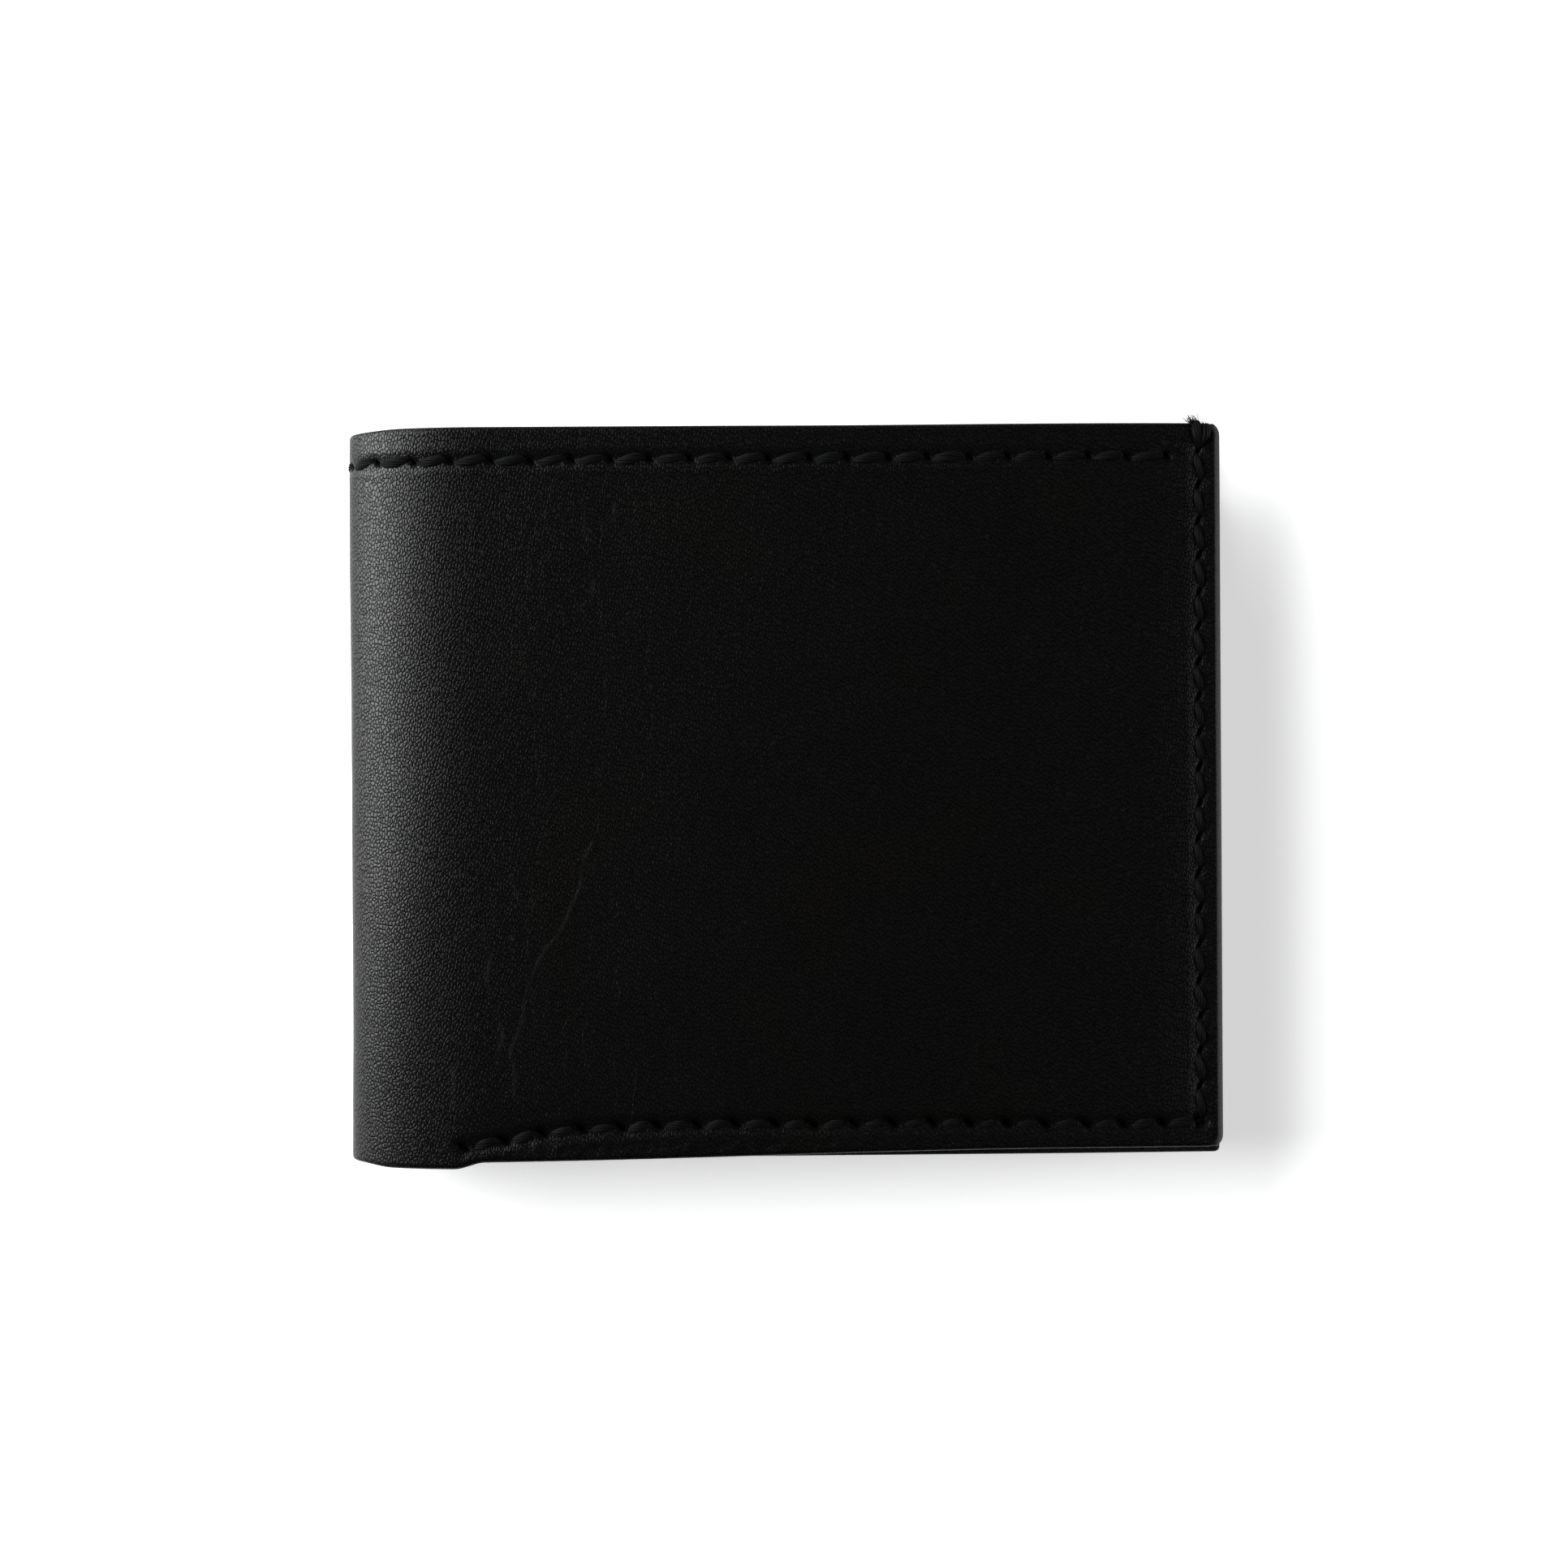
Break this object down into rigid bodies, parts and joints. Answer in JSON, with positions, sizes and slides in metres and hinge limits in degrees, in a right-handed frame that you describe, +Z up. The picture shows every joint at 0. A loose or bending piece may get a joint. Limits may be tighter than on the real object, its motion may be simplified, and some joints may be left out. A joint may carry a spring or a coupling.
{
  "type": "bifold wallet",
  "caption": "Black leather bifold wallet with a stitched shell, a lined full-width bill pocket and stepped card pockets, lying closed.",
  "frame": {"origin": "middle of the footprint of the closed wallet, on the surface that it lies on", "axes": "+X from the fold to the free edge, +Y towards the mouth of the bill pocket, +Z up out of the front cover"},
  "size_m": [0.11, 0.092, 0.014],
  "materials": {
    "cover_leather": "fine pebbled grain, soft semi-gloss, edges burnished",
    "pocket_leather": "smooth thin leather with burnished mouths",
    "lining": "matte woven lining cloth",
    "thread": "waxed twisted multifilament thread"
  },
  "bodies": {
    "back_half": {"shell_back": "cover_leather", "lining_back": "lining", "bill_divider_back": "pocket_leather", "top_edge_thread_back": "thread", "upper_card_pocket_back": "pocket_leather", "middle_card_pocket_back": "pocket_leather", "lower_card_pocket_back": "pocket_leather", "upper_pocket_base_thread_back": "thread", "middle_pocket_base_thread_back": "thread", "pocket_edge_thread_back": "thread", "seam_thread_back": "thread"},
    "spine": {"shell_spine": "cover_leather", "lining_spine": "lining", "bill_divider_spine": "pocket_leather", "top_edge_thread_spine": "thread"},
    "front_half": {"shell_front": "cover_leather", "lining_front": "lining", "bill_divider_front": "pocket_leather", "top_edge_thread_front": "thread", "upper_card_pocket_front": "pocket_leather", "middle_card_pocket_front": "pocket_leather", "lower_card_pocket_front": "pocket_leather", "upper_pocket_base_thread_front": "thread", "middle_pocket_base_thread_front": "thread", "pocket_edge_thread_front": "thread", "seam_thread_front": "thread"}
  },
  "joints": [
    {"name": "back_fold", "type": "hinge", "parent": "back_half", "child": "spine", "pos_m": [-0.05238, 0, 0.00263], "axis": [0, -1, 0], "range_deg": [0, 90]},
    {"name": "front_fold", "type": "hinge", "parent": "spine", "child": "front_half", "pos_m": [-0.05238, 0, 0.01137], "axis": [0, -1, 0], "range_deg": [0, 90]}
  ],
  "couplings": [
    {"joint": "front_fold", "follows": "back_fold", "ratio": 1}
  ]
}
